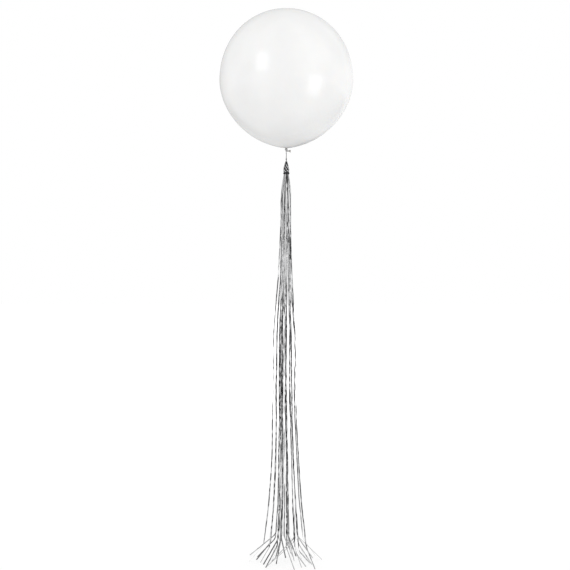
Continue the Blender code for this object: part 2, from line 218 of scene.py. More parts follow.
# Foil strips in the order they stand round each ring, counter-clockwise from +X:
# ring, azimuth low down in degrees, share of the ring's radius there, half-turns of twist,
# knee height above the floor, and where the tip touches the floor, x and y in metres
STRIPS = (
    ("outer", 3, 0.95, 2, 0.067, 0.128, -0.124),
    ("outer", 34, 1.00, -1, 0.092, 0.136, 0.102),
    ("outer", 57, 1.00, 3, 0.100, 0.164, 0.036),
    ("outer", 84, 0.95, -3, 0.088, 0.020, 0.142),
    ("outer", 106, 1.00, 3, 0.092, -0.040, 0.140),
    ("outer", 122, 1.00, -2, 0.108, -0.170, 0.112),
    ("outer", 177, 1.10, 2, 0.075, -0.168, 0.008),
    ("outer", 216, 1.00, -1, 0.082, -0.118, -0.016),
    ("outer", 243, 0.98, -3, 0.092, -0.092, -0.100),
    ("outer", 270, 0.97, 3, 0.090, 0.036, -0.134),
    ("outer", 294, 1.00, -2, 0.088, 0.068, -0.096),
    ("outer", 306, 1.00, 3, 0.070, 0.108, -0.024),
    ("middle", 32, 1.05, -3, 0.104, 0.122, 0.062),
    ("middle", 100, 0.96, -1, 0.102, 0.030, 0.088),
    ("middle", 116, 1.00, -3, 0.110, -0.003, 0.062),
    ("middle", 146, 1.00, 2, 0.098, -0.134, 0.080),
    ("middle", 190, 1.20, -1, 0.090, -0.138, 0.030),
    ("middle", 242, 1.02, 1, 0.104, -0.070, -0.032),
    ("middle", 310, 1.00, -3, 0.122, -0.068, 0.003),
    ("middle", 330, 1.02, -1, 0.092, 0.116, -0.050),
    ("core", 30, 1.00, 3, 0.118, 0.092, 0.016),
    ("core", 84, 1.00, 2, 0.120, 0.046, 0.090),
    ("core", 138, 1.04, -1, 0.130, -0.070, 0.050),
    ("core", 212, 1.00, 2, 0.110, -0.104, -0.046),
    ("core", 272, 1.00, 3, 0.106, 0.088, -0.078),
    ("core", 326, 1.08, -1, 0.100, -0.088, -0.078),
    ("inner", 64, 1.00, 3, 0.122, 0.072, 0.042),
    ("inner", 140, 0.95, 3, 0.122, -0.050, 0.064),
    ("inner", 218, 1.00, 3, 0.124, -0.046, -0.040),
    ("inner", 284, 0.90, -1, 0.138, 0.036, 0.016),
)

# Surfaces: pairs of colours that noise mixes, and where along Z painted shade sets in and is full
NOISE_SPREAD = (0.3, 0.7)
LATEX_COLOURS = ((0.880, 0.880, 0.876, 1), (0.905, 0.905, 0.900, 1))
# Painted shade: the latex's colour at the neck, knot and mouth under the balloon
NECK_SHADE_COLOUR = (0.38, 0.376, 0.365, 1)
NECK_SHADE_Z = (-0.303, -0.316)
# Painted shade that darkens the balloon's lower part towards the neck
LOW_SHADE_Z = (-0.225, -0.305)
LOW_SHADE_SHARE = 0.11
CORD_COLOURS = ((0.11, 0.11, 0.114, 1), (0.40, 0.40, 0.408, 1))
CORD_FIBRE = 0.18
# Painted shade: the hanging strips' darker colour stands for crumples' shade; the paler one is the
# silver
HANGING_SHADE_COLOURS = ((0.52, 0.525, 0.535, 1), (0.97, 0.97, 0.97, 1))
# Painted shade: the head's dark colour stands for the shade in its folds
HEAD_SHADE_COLOURS = ((0.03, 0.031, 0.033, 1), (0.84, 0.845, 0.855, 1))
# Painted shade: the binding's colours make the band dark all over
BINDING_SHADE_COLOURS = ((0.02, 0.021, 0.023, 1), (0.20, 0.205, 0.215, 1))

# Painted shade on the head: how many dark folds, how far noise shifts them, the part of their
# wave that turns from dark to light, and the heights where its ends' painted shade is full and
# gone
HEAD_FOLDS = 5
FOLD_UNEVEN = 2.4
FOLD_EDGES = (-0.45, 0.35)
HEAD_SHADES = ((-0.379, -0.387), (-0.4215, -0.4180))

# Painted dark reflections on the hanging strips: noise scale along X, Y and Z, the noise values
# between which they set in, their colour and its share, and the heights where they fade in and out
DARK_SCALE = (70.0, 70.0, 13.0)
DARK_EDGES = (0.57, 0.62)
PAINTED_DARK_COLOUR = (0.06, 0.06, 0.065, 1)
DARK_SHARE = 0.95
DARK_REACH = ((-0.89, -0.97), (-1.95, -1.60))

# Studio: each soft box's direction from the origin, distance, width, height and tone, then
# the light from all round, which rises and falls with height and leans along X, and the floor
WINDOWS = {
    "left window": ((-0.601, -0.740, 0.301), 2.5, 0.85, 1.10, 3.4),
    "right window": ((0.722, -0.620, -0.309), 2.5, 1.05, 1.45, 2.7),
}
WHITE = (1, 1, 1, 1)
HORIZON_TONE = 1.160
SKY_RISE = 0.075
SKY_FALL = 0.410
SKY_LEAN = 0.050
FLOOR_GLOW = 0.755
FLOOR_ALBEDO = 0.26
FLOOR_FADE = (2.4, 5.0)
FLOOR_REACH = 60.0
FLOOR_GAP = 0.0006
SURROUND_RADIUS = 7.0

# What the foil and the latex mirror, all round: azimuth in degrees clockwise from +Y seen
# from above, and tone. Most of the tail mirrors the low tones, its upper part those at eye
# level and its top the upper ones. The wall is above and below all three, for the balloon
LOW_TONES = (
    (-180, 0.01), (-162, 0.01), (-154, 0.50), (-142, 0.72), (-126, 0.72), (-116, 0.01),
    (-82, 0.01), (-74, 0.45), (-50, 0.58), (-42, 0.06), (-30, 0.06), (-22, 0.65), (-8, 0.65),
    (0, 0.08), (12, 0.08), (20, 0.70), (36, 0.70), (44, 0.08), (54, 0.08), (60, 0.35),
    (68, 0.01), (114, 0.01), (124, 0.72), (140, 0.72), (152, 0.30), (160, 0.01), (180, 0.01),
)
EYE_TONES = (
    (-180, 0.66), (-170, 0.70), (-160, 1.15), (-136, 1.15), (-126, 0.78), (-108, 0.78),
    (-98, 1.05), (-66, 1.05), (-56, 0.48), (-12, 0.42), (8, 0.75), (30, 0.90), (40, 0.75),
    (54, 0.75), (64, 1.05), (94, 1.05), (104, 0.78), (122, 0.78), (132, 1.15), (160, 1.15),
    (170, 0.70), (180, 0.66),
)
UPPER_TONES = (
    (-180, 0.02), (-168, 0.03), (-160, 0.72), (-134, 0.72), (-124, 0.10), (-102, 0.10),
    (-92, 0.60), (-66, 0.60), (-56, 0.38), (-40, 0.36), (-12, 0.42), (8, 0.70), (30, 0.85),
    (54, 0.80), (64, 0.62), (90, 0.62), (100, 0.10), (122, 0.10), (132, 0.72), (160, 0.72),
    (168, 0.03), (180, 0.02),
)
WALL_TONES = (
    (-180, 0.04), (-152, 0.04), (-144, 0.72), (-100, 0.72), (-90, 0.30), (-66, 0.30),
    (-58, 0.55), (-44, 0.50), (-26, 0.42), (-12, 0.50), (10, 0.58), (32, 0.52), (58, 0.55),
    (66, 0.08), (90, 0.08), (100, 0.72), (144, 0.72), (152, 0.04), (180, 0.04),
)

# Heights, as Z of the direction seen from the origin, between which one set of tones turns
# into the next, and between which the gaps near the floor grow paler, up to a tone
LOW_TO_EYE = (-0.146, -0.124)
EYE_TO_UPPER = (-0.062, -0.040)
UPPER_TO_WALL = (0.24, 0.36)
LOW_TO_WALL = (-0.62, -0.75)
PALE_GAPS = (-0.34, -0.56)
PALE_GAP_TONE = 0.21


def eased(value, start=0.0, span=1.0):
    """0 to 1 from a start and over a span, with soft ends."""
    share = min(max((value - start) / span, 0.0), 1.0)
    return share * share * (3 - 2 * share)


def round_point(radius, angle, z):
    return Vector((radius * math.cos(angle), radius * math.sin(angle), z))


def smooth_value(knots, at):
    """Hermite curve through (place, value) knots."""
    slopes = []
    for i in range(len(knots)):
        before = knots[max(i - 1, 0)]
        after = knots[min(i + 1, len(knots) - 1)]
        slopes.append((after[1] - before[1]) / (after[0] - before[0]))
    for i in range(len(knots) - 1):
        (x0, y0), (x1, y1) = knots[i], knots[i + 1]
        if at <= x1 or i == len(knots) - 2:
            width = x1 - x0
            t = (at - x0) / width
            return ((2 * t**3 - 3 * t**2 + 1) * y0 + (t**3 - 2 * t**2 + t) * width * slopes[i]
                    + (3 * t**2 - 2 * t**3) * y1 + (t**3 - t**2) * width * slopes[i + 1])


def kinked(rng, length, stretches):
    """A function of the distance along a strip: straight stretches between random values."""
    knots = [(0.0, rng.uniform(-1, 1))]
    while knots[-1][0] < length:
        knots.append((knots[-1][0] + rng.uniform(*stretches), rng.uniform(-1, 1)))

    def value(at):
        for (x0, y0), (x1, y1) in zip(knots, knots[1:]):
            if at <= x1:
                return y0 + (y1 - y0) * (at - x0) / (x1 - x0)
        return knots[-1][1]

    return value


class Shape:
    """Vertices and faces collected from several closed shells."""

    def __init__(self):
        self.points = []
        self.faces = []

    def loft(self, rings, closed=False):
        """Join rings of equal point count, capped unless they close on themselves."""
        base = len(self.points)
        size = len(rings[0])
        for ring in rings:
            self.points.extend(ring)
        count = len(rings)
        for i in range(count if closed else count - 1):
            low = base + i * size
            high = base + (i + 1) % count * size
            for k in range(size):
                j = (k + 1) % size
                self.faces.append((low + k, low + j, high + j, high + k))
        if not closed:
            self.faces.append(tuple(base + k for k in reversed(range(size))))
            self.faces.append(tuple(base + (count - 1) * size + k for k in range(size)))

    def turn(self, outline, segments, shaped):
        """Rings round Z from (radius, z) points; the first and last lie on the axis."""
        base = len(self.points)
        inner = outline[1:-1]
        self.points.append(Vector((0, 0, outline[0][1])))
        for radius, z in inner:
            for k in range(segments):
                angle = 2 * math.pi * k / segments
                self.points.append(shaped(round_point(radius, angle, z), angle))
        self.points.append(Vector((0, 0, outline[-1][1])))
        last = len(self.points) - 1
        for k in range(segments):
            j = (k + 1) % segments
            self.faces.append((base, base + 1 + k, base + 1 + j))
            for i in range(len(inner) - 1):
                low = base + 1 + i * segments
                high = low + segments
                self.faces.append((low + k, high + k, high + j, low + j))
            low = base + 1 + (len(inner) - 1) * segments
            self.faces.append((low + k, last, low + j))

    def mesh(self, name, sharp_deg=50):
        made = bpy.data.meshes.new(name)
        made.from_pydata([tuple(point) for point in self.points], [], self.faces)
        made.validate()
        made.shade_smooth()
        made.set_sharp_from_angle(angle=math.radians(sharp_deg))
        return made


def outward(mesh):
    """Turn a closed mesh's faces to point out."""
    bm = bmesh.new()
    bm.from_mesh(mesh)
    bmesh.ops.recalc_face_normals(bm, faces=bm.faces)
    bm.to_mesh(mesh)
    bm.free()
    return mesh


def piece(name, mesh, material, body, node):
    """A shown piece: it rides on a body and stands for the solid of one node."""
    obj = bpy.data.objects.new(name, outward(mesh))
    bpy.context.scene.collection.objects.link(obj)
    mesh.materials.append(material)
    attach(obj, body)
    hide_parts(node)
    return obj


class Nodes:
    """Short names for building a node tree."""

    def __init__(self, tree):
        self.tree = tree

    def add(self, kind, settings=(), **inputs):
        node = self.tree.nodes.new("ShaderNode" + kind)
        for key, value in dict(settings).items():
            setattr(node, key, value)
        for key, value in inputs.items():
            self.set(node, key.replace("_", " "), value)
        return node

    def set(self, node, key, value):
        """Give an input a value, or link another node's output to it."""
        socket = node.inputs[key]
        if isinstance(value, bpy.types.NodeSocket):
            self.tree.links.new(value, socket)
        else:
            socket.default_value = value

    def join(self, kind, settings, *values):
        """A node whose inputs are set in their order."""
        node = self.add(kind, settings)
        for key, value in enumerate(values):
            self.set(node, key, value)
        return node

    def formula(self, operation, *values, clamped=False):
        settings = {"operation": operation, "use_clamp": clamped}
        return self.join("Math", settings, *values).outputs["Value"]

    def span(self, value, start, end, low=0.0, high=1.0, **settings):
        """A value brought from one range into another."""
        node = self.add("MapRange", settings, Value=value, From_Min=start, From_Max=end,
                        To_Min=low, To_Max=high)
        return node.outputs["Result"]

    def smooth_span(self, value, start, end, low=0.0, high=1.0):
        return self.span(value, start, end, low, high, interpolation_type="SMOOTHSTEP")

    def mixed(self, share, first, second, **settings):
        """Two colours mixed."""
        node = self.add("Mix", {"data_type": "RGBA", **settings}, Factor=share)
        self.set(node, "A", first)
        self.set(node, "B", second)
        return node.outputs["Result"]


def new_material(name):
    """A Principled material, its node helper and its shader."""
    material = bpy.data.materials.new(name)
    material.use_nodes = True
    tree = material.node_tree
    return material, Nodes(tree), tree.nodes["Principled BSDF"]


def noise_value(nodes, where, scale, detail, low, high):
    """Noise over a coordinate, brought into a range."""
    field = nodes.add("TexNoise", Vector=where, Scale=scale, Detail=detail)
    return nodes.span(field.outputs["Fac"], *NOISE_SPREAD, low, high)


def add_bump(nodes, shader, strength, distance, **pattern):
    field = nodes.add("TexNoise", **pattern)
    bump = nodes.add("Bump", Strength=strength, Distance=distance, Height=field.outputs["Fac"])
    nodes.set(shader, "Normal", bump.outputs["Normal"])


def latex_material():
    """Glossy white latex, a little cloudy, with painted shade low down and at the neck."""
    material, nodes, shader = new_material("white latex")
    where = nodes.add("TexCoord").outputs["Object"]
    body = nodes.mixed(noise_value(nodes, where, 9.0, 3.0, 0.0, 1.0), *LATEX_COLOURS)
    height = nodes.add("SeparateXYZ", Vector=where).outputs["Z"]
    # Painted shade: full at the neck, knot and mouth, and a little on the lower part
    painted_neck_shade = nodes.formula("MAXIMUM", nodes.smooth_span(height, *NECK_SHADE_Z),
                             nodes.smooth_span(height, *LOW_SHADE_Z, 0.0, LOW_SHADE_SHARE))
    nodes.set(shader, "Base Color", nodes.mixed(painted_neck_shade, body, NECK_SHADE_COLOUR))
    nodes.set(shader, "Roughness", noise_value(nodes, where, 14.0, 2.0, 0.17, 0.23))
    add_bump(nodes, shader, 0.04, 0.002, Vector=where, Scale=55.0, Detail=2.0)
    shader.inputs["IOR"].default_value = 1.42
    shader.inputs["Subsurface Weight"].default_value = 0.15
    shader.inputs["Subsurface Radius"].default_value = (1.0, 0.85, 0.7)
    shader.inputs["Subsurface Scale"].default_value = 0.004
    return material


def cord_material():
    """Twisted grey cotton cord, paler at the neck and greyer towards the tassel."""
    material, nodes, shader = new_material("grey cord")
    where = nodes.add("TexCoord").outputs["Object"]
    fibre = noise_value(nodes, where, 900.0, 3.0, -CORD_FIBRE, CORD_FIBRE)
    height = nodes.add("SeparateXYZ", Vector=where).outputs["Z"]
    pale = nodes.formula("ADD", fibre, nodes.span(height, EYE_Z, KNOT_Z), clamped=True)
    nodes.set(shader, "Base Color", nodes.mixed(pale, *CORD_COLOURS))
    nodes.set(shader, "Roughness", noise_value(nodes, where, 700.0, 2.0, 0.72, 0.92))
    add_bump(nodes, shader, 0.35, 0.0002, Vector=where, Scale=2200.0, Detail=2.0)
    shader.inputs["Sheen Weight"].default_value = 0.1
    return material


def painted_head_shade(nodes, where, patchy):
    """Painted shade: dark folds wound round the head, and dark at its apex and next to the
    binding.
    """
    parts = nodes.add("SeparateXYZ", Vector=where)
    height = parts.outputs["Z"]
    around = nodes.formula("ARCTAN2", parts.outputs["Y"], parts.outputs["X"])
    wound = nodes.span(height, HEAD_TOP, HEAD_BOTTOM, 0.0,
                       -math.radians(HEAD_TURN_DEG) * HEAD_FOLDS, clamp=False)
    phase = nodes.formula("MULTIPLY_ADD", around, float(HEAD_FOLDS), wound)
    wave = nodes.formula("SINE", nodes.formula("MULTIPLY_ADD", patchy, FOLD_UNEVEN, phase))
    lit = nodes.smooth_span(wave, *FOLD_EDGES)
    for dark, light in HEAD_SHADES:
        lit = nodes.formula("MULTIPLY", lit, nodes.span(height, dark, light))
    return lit


def painted_dark_lengths(nodes, where):
    """Share of painted dark reflection on the hanging strips, in short lengths."""
    drawn_out = nodes.join("VectorMath", {"operation": "MULTIPLY"}, where, DARK_SCALE)
    field = nodes.add("TexNoise", Vector=drawn_out.outputs["Vector"], Scale=1.0, Detail=1.0)
    share = nodes.span(field.outputs["Fac"], *DARK_EDGES, 0.0, DARK_SHARE)
    height = nodes.add("SeparateXYZ", Vector=where).outputs["Z"]
    for clear, full in DARK_REACH:
        share = nodes.formula("MULTIPLY", share, nodes.span(height, clear, full))
    return share


def foil_material(name, colours, patch, twisted=False, hanging=False):
    """Silver metallised film with fine crinkles, a faint uneven gloss and patches of painted
    shade.
    """
    material, nodes, shader = new_material(name)
    where = nodes.add("TexCoord").outputs["Object"]
    # Painted shade: noise mixes the darker colour of the pair in
    foil_shade_share = noise_value(nodes, where, patch, 2.0, 0.0, 1.0)
    if twisted:
        # Painted shade of the head's folds
        foil_shade_share = painted_head_shade(nodes, where, foil_shade_share)
    colour = nodes.mixed(foil_shade_share, *colours)
    if hanging:
        # Painted dark reflections on short lengths of the hanging strips
        colour = nodes.mixed(painted_dark_lengths(nodes, where), colour, PAINTED_DARK_COLOUR)
    nodes.set(shader, "Base Color", colour)
    nodes.set(shader, "Roughness", noise_value(nodes, where, 110.0, 3.0, 0.06, 0.15))
    add_bump(nodes, shader, 0.14, 0.0006, Vector=where, Scale=170.0, Detail=3.0, Distortion=0.6)
    shader.inputs["Metallic"].default_value = 1.0
    return material


def balloon_outline(rows):
    """(radius, z) from the crown down to the end of the neck."""
    points = []
    for i in range(rows + 1):
        angle = math.radians(90 - (90 - LOWEST_DEG) * i / rows)
        share = math.sin(angle)
        height = CROWN_HEIGHT if share >= 0 else POLE_DEPTH
        fullness = CROWN_FULLNESS if share >= 0 else POLE_SLIMNESS
        radius = WIDEST_RADIUS * math.cos(angle) * (1 + fullness * share**2)
        drawn = NECK_DRAW * math.exp(-(radius / NECK_DRAW_RADIUS)**2) if share < 0 else 0.0
        points.append((max(radius, 0.0), height * share - drawn))
    points += NECK_FLARE
    steps = 8
    for i in range(steps + 1):
        points.append((NECK_RADIUS, NECK_TOP + (NECK_END - NECK_TOP) * i / steps))
    points.append((0.0, NECK_END))
    return points


def pleated(point, angle):
    """Gathers that fade out a little way up from the neck."""
    radius = math.hypot(point.x, point.y)
    if point.z > 0 or radius > PLEAT_REACH:
        return point
    near = 1 - eased((radius - NECK_RADIUS) / (PLEAT_REACH - NECK_RADIUS))
    uneven = noise.noise(round_point(4, angle, 1.7))
    wave = math.cos(PLEATS * angle + 1.3 * uneven) + 0.5 * math.cos(2 * PLEATS * angle + 0.8)
    push = PLEAT_DEPTH * near**2 * wave
    if radius < 2 * NECK_RADIUS:
        return point + Vector((point.x, point.y, 0)).normalized() * push
    return point + Vector((0, 0, push))


def build_balloon(latex):
    """The three pieces of latex: the skin, the knot and the rolled mouth."""
    skin = Shape()
    skin.turn(balloon_outline(120), 192, pleated)
    balloon = piece("balloon_skin", skin.mesh("balloon_skin"), latex, "balloon",
                    "envelope")
    return [balloon, build_knot(latex), build_lip(latex)]


def sweep(shape, points, radius_at, sides, closed=False, lobes=0, pitch=1.0, depth=0.0,
          hint=Vector((0, 0, 1))):
    """A round or plied section carried along points with the least twist."""
    last = len(points) - 1
    rings = []
    normal = None
    run = 0.0
    for i, point in enumerate(points):
        before = points[i - 1] if i or closed else point
        after = points[(i + 1) % len(points)] if i < last or closed else point
        along = (after - before).normalized()
        if normal is None:
            normal = hint
        normal = (normal - along * normal.dot(along)).normalized()
        side = along.cross(normal)
        run += (point - points[i - 1]).length if i else 0.0
        turn = 2 * math.pi * run / pitch
        radius = radius_at(i / last)
        ring = []
        for k in range(sides):
            angle = 2 * math.pi * k / sides
            spread = radius * (1 - depth + depth * abs(math.cos(lobes * (angle - turn) / 2)))
            ring.append(point + spread * (math.cos(angle) * normal + math.sin(angle) * side))
        rings.append(ring)
    shape.loft(rings, closed=closed)


def remeshed(mesh, voxel, smooth_steps):
    """Fuse overlapping shells into one skin and soften it."""
    obj = bpy.data.objects.new("fusing", mesh)
    bpy.context.scene.collection.objects.link(obj)
    fuse = obj.modifiers.new("fuse", "REMESH")
    fuse.mode = "VOXEL"
    fuse.voxel_size = voxel
    soften = obj.modifiers.new("soften", "SMOOTH")
    soften.factor = 0.5
    soften.iterations = smooth_steps
    bpy.context.view_layer.update()
    graph = bpy.context.evaluated_depsgraph_get()
    made = bpy.data.meshes.new_from_object(obj.evaluated_get(graph))
    bpy.data.objects.remove(obj)
    made.shade_smooth()
    return made


def trefoil(steps, loops):
    """(across, up, out) round a trefoil knot."""
    for i in range(steps):
        t = 2 * math.pi * i / steps
        yield (math.sin(t) + loops * math.sin(2 * t), math.cos(t) - loops * math.cos(2 * t),
               math.sin(3 * t))


def build_knot(latex):
    """The neck tied in an overhand knot, its turns pulled tight against each other."""
    middle = Vector((0, 0, KNOT_Z - KNOT_SINK))
    points = [Vector((across, -KNOT_STRETCH * out, KNOT_STRETCH * up)) * KNOT_SCALE + middle
              for across, up, out in trefoil(120, KNOT_LOOPS)]
    knot = Shape()
    sweep(knot, points, lambda share: KNOT_TUBE * (1 + 0.06 * math.sin(9 * share)), 16,
          closed=True, hint=Vector((0, 1, 0)))
    stem = [Vector((0, 0, KNOT_Z + STEM_RISE - STEM_STEP * i)) for i in range(4)]
    sweep(knot, stem, lambda share: STEM_RADIUS, 16, hint=Vector((0, 1, 0)))
    mesh = remeshed(knot.mesh("latex_knot"), KNOT_VOXEL, 3)
    return piece("latex_knot", mesh, latex, "balloon", "neck_knot")


def crumpled(point, angle):
    """The mouth's outline pushed out of round, the more so towards its rolled edge."""
    share = point.z / MOUTH_LENGTH
    wave = 0.10 * math.cos(2 * angle + 0.6) + 0.05 * math.cos(5 * angle + 2.0)
    folds = 0.05 * math.cos(11 * angle) * (1 - share)
    scale = 1 + share * wave + folds
    lift = 0.0007 * share**2 * math.cos(3 * angle + 1.0)
    return Vector((point.x * scale * MOUTH_FLATNESS, point.y * scale, point.z + lift))


def build_lip(latex):
    """The mouth past the knot: a short flared tube that ends in a rolled edge."""
    bead = []
    for i in range(11):
        angle = math.radians(-70 + 230 * i / 10)
        bead.append((LIP_BEAD[0] + LIP_BEAD_RADIUS * math.cos(angle),
                     LIP_BEAD[1] + LIP_BEAD_RADIUS * math.sin(angle)))
    lip = Shape()
    lip.turn([*LIP_OUTSIDE, *bead, *LIP_INSIDE], 64, crumpled)
    mesh = lip.mesh("rolled_lip", 80)
    aim = Matrix.Rotation(math.radians(90 + MOUTH_DROP_DEG), 4, "Y")
    root = Vector((0, 0, KNOT_Z)) + aim @ Vector((0, 0, MOUTH_START))
    mesh.transform(Matrix.Translation(root) @ aim)
    return piece("rolled_lip", mesh, latex, "balloon", "mouth_rim")


def add_cord(shape, points, closed=False):
    """Plied cord of full thickness along points."""
    sweep(shape, points, lambda share: CORD_RADIUS, 18, closed=closed, lobes=PLIES,
          pitch=PLY_PITCH, depth=PLY_DEPTH, hint=Vector((1, 0, 0)))


def spaced(points, step):
    """Points a step apart along a smooth curve through these."""
    made = []
    count = len(points)
    for i in range(count - 1):
        before = points[max(i - 1, 0)]
        start, end = points[i], points[i + 1]
        after = points[min(i + 2, count - 1)]
        pieces = max(2, round((end - start).length / step))
        for k in range(pieces):
            t = k / pieces
            made.append(0.5 * (2 * start + (end - before) * t
                               + (2 * before - 5 * start + 4 * end - after) * t * t
                               + (3 * start - before - 3 * end + after) * t**3))
    made.append(points[-1])
    return made


def build_tie(cord):
    """Cord up one side of the knot, round the neck and down the other side, and its own knot."""
    left = [Vector((0, y, z)) for y, z in ((-0.0010, BEAD_Z), *TIE_LEG)]
    turns = []
    steps = 26
    for i in range(steps + 1):
        angle = -math.pi / 2 - 2 * math.pi * TIE_TURNS * i / steps
        z = TIE_TOP - TIE_PITCH * (1.15 - abs(2 * i / steps - 1))
        turns.append(round_point(TIE_RADIUS, angle, z))
    right = [Vector((point.x, -point.y, point.z)) for point in reversed(left)]
    tie = Shape()
    add_cord(tie, spaced(left + turns + right, CORD_STEP))
    middle = Vector((0, 0, BEAD_Z))
    bead = [Vector((BEAD_STRETCH * out, across, up)) * BEAD_SCALE + middle
            for across, up, out in trefoil(90, BEAD_LOOPS)]
    sweep(tie, bead, lambda share: BEAD_CORD, 12, closed=True, lobes=PLIES, pitch=BEAD_PITCH,
          depth=THIN_PLY_DEPTH, hint=Vector((1, 0, 0)))
    piece("string_tie", tie.mesh("string_tie"), cord, "balloon", "neck_tie")


def build_drop(cord):
    """The drop below the bead, the eye that the tassel hangs from, and the whipping on it."""
    drop = Shape()
    line = [Vector((x, 0, z)) for x, z in (*DROP_LINE, (0, EYE_Z + EYE_RADIUS))]
    add_cord(drop, spaced(line, CORD_STEP))
    eye = []
    steps = 56
    for i in range(steps):
        angle = 2 * math.pi * i / steps
        eye.append(Vector((0, EYE_RADIUS * math.cos(angle), EYE_Z + EYE_RADIUS * math.sin(angle))))
    add_cord(drop, eye, closed=True)
    whipping = []
    steps = 16
    for i in range(WHIPPING_TURNS * steps + 1):
        z = EYE_Z + EYE_RADIUS + WHIPPING_RADIUS + WHIPPING_PITCH * i / steps
        whipping.append(round_point(WHIPPING_RADIUS, 2 * math.pi * i / steps, z))
    sweep(drop, whipping, lambda share: WHIPPING_CORD, 10, lobes=PLIES,
          pitch=WHIPPING_PLY_PITCH, depth=THIN_PLY_DEPTH)
    piece("string_drop", drop.mesh("string_drop"), cord, "string", "string")


def add_ribbon(shape, points, sides, width, film, cambers):
    """A closed thin strip along points, with the direction of its width at each one."""
    last = len(points) - 1
    rings = []
    for i, point in enumerate(points):
        along = (points[min(i + 1, last)] - points[max(i - 1, 0)]).normalized()
        side = (sides[i] - along * sides[i].dot(along)).normalized()
        face = side.cross(along)
        upper, lower = [], []
        for k in range(RIBBON_CELLS + 1):
            share = 2 * k / RIBBON_CELLS - 1
            bulge = cambers[i] * (1 - share * share)
            place = point + side * (share * width / 2)
            upper.append(place + face * (bulge + film / 2))
            lower.append(place + face * (bulge - film / 2))
        rings.append(upper + lower[::-1])
    shape.loft(rings)


def head_radius(z):
    return smooth_value([(-level, radius) for level, radius in HEAD_PROFILE], -z)


def twist_core(head):
    """The middle of the head: a cone with folds wound round it."""
    levels = 60
    segments = 72
    rings = []
    for i in range(levels + 1):
        share = i / levels
        z = HEAD_TOP + (HEAD_BOTTOM - HEAD_TOP) * share
        radius = head_radius(z) * HEAD_CORE
        turn = math.radians(HEAD_TURN_DEG) * share
        ring = []
        for k in range(segments):
            angle = 2 * math.pi * k / segments
            fold = abs(math.cos(HEAD_RIDGES / 2 * (angle - turn)))
            rough = noise.noise(round_point(3, angle - turn, z * 160))
            ring.append(round_point(radius * (0.86 + 0.10 * fold + 0.07 * rough), angle, z))
        rings.append(ring)
    head.loft(rings)


def lay_strips(head):
    """Strips wound round the core from the apex to the binding."""
    rng = random.Random(HEAD_SEED)
    width = min(STRIP_WIDTH, 2 * math.pi * LAID_ROUND / LAID_STRIPS)
    steps = 40
    for number in range(LAID_STRIPS):
        start = 360 * number / LAID_STRIPS + rng.uniform(-9, 9)
        turned = HEAD_TURN_DEG + rng.uniform(-25, 25)
        points, sides = [], []
        for i in range(steps + 1):
            share = i / steps
            z = HEAD_TOP + LAID_START + (HEAD_BOTTOM + LAID_END - HEAD_TOP - LAID_START) * share
            angle = math.radians(start + turned * share)
            lift = 0.0001 + 0.0006 * (0.5 + 0.5 * noise.noise(Vector((number * 3.1, z * 90, 0))))
            points.append(round_point(head_radius(z) * HEAD_CORE + lift, angle, z))
            round_way = Vector((-math.sin(angle), math.cos(angle), 0))
            tip = 0.35 * noise.noise(Vector((number * 5.7, z * 120, 2)))
            sides.append(round_way + round_point(1, angle, 0) * (0.15 + tip))
        add_ribbon(head, points, sides, width, STRIP_FILM, [LAID_CAMBER] * len(points))


def add_bight(head):
    """The loop on top of the head, which hangs in the string's eye."""
    steps = 28
    low = Vector((0, 0, -BIGHT_LEG))
    for number, (offset, radius) in enumerate(BIGHT_STRANDS):
        points, sides = [], []
        for i in range(steps + 1):
            angle = math.pi * i / steps
            points.append(BIGHT_CENTRE + Vector((radius * math.cos(angle), offset,
                                                 radius * math.sin(angle))))
            sides.append(Vector((0.25 * math.sin(angle * 2 + number), 1, 0)))
        points = [points[0] + low, points[0] + low / 2, *points, points[-1] + low / 2,
                  points[-1] + low]
        sides = [sides[0]] * 2 + sides + [sides[-1]] * 2
        add_ribbon(head, points, sides, BIGHT_WIDTH, BIGHT_THICKNESS, [BIGHT_CAMBER] * len(points))


def build_head(foil):
    """The gathered foil: a tightly twisted cone, strips laid round it, and the bight on top."""
    head = Shape()
    twist_core(head)
    lay_strips(head)
    add_bight(head)
    piece("foil_head", head.mesh("foil_head"), foil, "tassel", "tassel_head")


def build_binding(foil):
    """The band of foil wrapped round the head above the strips."""
    steps = 48
    count = BINDING_TURNS * steps
    fall = BINDING_HEIGHT - BINDING_BAND
    points, sides = [], []
    for i in range(count + 1):
        share = i / count
        angle = 2 * math.pi * i / steps
        radius = BINDING_RADIUS + 0.00035 * share + BINDING_WOBBLE * math.sin(3.3 * angle)
        z = (BINDING_TOP - BINDING_BAND / 2 - fall * share
             + BINDING_WOBBLE * math.sin(1.7 * angle))
        points.append(round_point(radius, angle, z))
        sides.append(round_point(0.12, angle, 1))
    binding = Shape()
    add_ribbon(binding, points, sides, BINDING_BAND, BINDING_THICKNESS,
               [BINDING_CAMBER] * len(points))
    piece("foil_binding", binding.mesh("foil_binding"), foil, "tassel",
          "tassel_binding")


